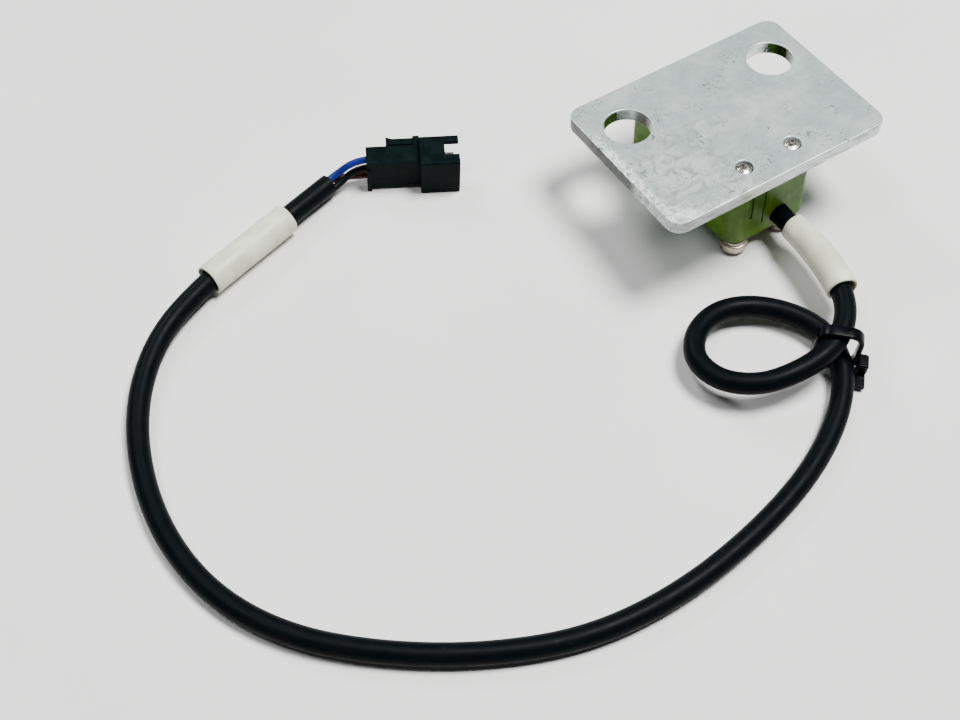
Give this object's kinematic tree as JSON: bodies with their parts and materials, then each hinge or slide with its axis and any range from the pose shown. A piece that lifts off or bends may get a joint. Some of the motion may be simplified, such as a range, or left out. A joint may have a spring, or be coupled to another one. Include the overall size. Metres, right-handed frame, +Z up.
{
  "type": "inductive lock sensor",
  "caption": "Block-shaped inductive lock sensor screwed under a zinc-plated bracket plate, with a looped, tied cable, marker sleeves and a latching plug.",
  "frame": {"origin": "centre of the plate-and-sensor assembly's footprint, on the table it lies on", "axes": "+X along the plate's long edge, +Y towards the sensing face, +Z up from the table; the plate and the sensor are tipped 6 degrees about X, as they lie on the two screw heads and the lower sensing edge"},
  "size_m": [0.1639, 0.1176, 0.0236],
  "materials": {
    "zinc_plate": "blue-white zinc plating, worn and dull",
    "green_housing": "olive green moulded plastic, lightly worn satin",
    "screw_steel": "nickel-plated steel, slightly yellowed",
    "spring_steel": "plated spring steel",
    "potting": "cast epoxy",
    "ferrite": "sintered ferrite",
    "bobbin_nylon": "natural nylon",
    "copper": "enamelled copper",
    "board_laminate": "glass epoxy laminate with solder mask",
    "chip_black": "moulded component body",
    "lamp_lens": "clear red lamp body",
    "cable_pvc": "black oil-resistant PVC jacket, satin",
    "wire_blue_pvc": "blue PVC insulation",
    "wire_brown_pvc": "brown PVC insulation",
    "wire_black_pvc": "black PVC insulation",
    "sleeve_ivory": "ivory PVC marker tubing, satin",
    "tie_nylon": "black nylon",
    "plug_nylon": "greenish-black moulded nylon",
    "tin_contact": "tin-plated brass"
  },
  "bodies": {
    "sensor": {"mounting_plate": "zinc_plate", "sensor_housing": "green_housing", "potting_resin": "potting", "ferrite_core": "ferrite", "coil_bobbin": "bobbin_nylon", "coil_winding": "copper", "coil_leads": "copper", "circuit_board": "board_laminate", "oscillator_chip": "chip_black", "output_transistor": "chip_black", "chip_resistors": "chip_black", "chip_capacitors": "bobbin_nylon", "indicator_lamp": "lamp_lens", "inner_lead_blue": "wire_blue_pvc", "inner_lead_black": "wire_black_pvc", "inner_lead_brown": "wire_brown_pvc", "mounting_screws": "screw_steel", "spring_washers": "spring_steel", "cable_jacket": "cable_pvc", "cable_tie": "tie_nylon", "wire_blue": "wire_blue_pvc", "wire_black": "wire_black_pvc", "wire_brown": "wire_brown_pvc", "connector_housing": "plug_nylon", "contact_pins": "tin_contact"},
    "latch": {"latch_lever": "plug_nylon"},
    "sensor_end_sleeve": {"marker_sleeve_sensor_end": "sleeve_ivory"},
    "plug_end_sleeve": {"marker_sleeve_plug_end": "sleeve_ivory"}
  },
  "joints": [
    {"name": "latch_press", "type": "hinge", "parent": "sensor", "child": "latch", "pos_m": [-0.05088, 0.03746, 0.0048], "axis": [0, 0, 1], "range_deg": [0, 6], "stiffness_Nm_per_rad": 0.1},
    {"name": "sensor_end_sleeve_slide", "type": "hinge", "parent": "sensor", "child": "sensor_end_sleeve", "pos_m": [-0.04922, -0.0256, -0.00407], "axis": [-0.2164, 0.0819, 0.9729], "range_deg": [0, 2.85]},
    {"name": "plug_end_sleeve_slide", "type": "slide", "parent": "sensor", "child": "plug_end_sleeve", "axis": [0.9628, 0.2703, 0], "range_m": [0, 0.011]}
  ]
}
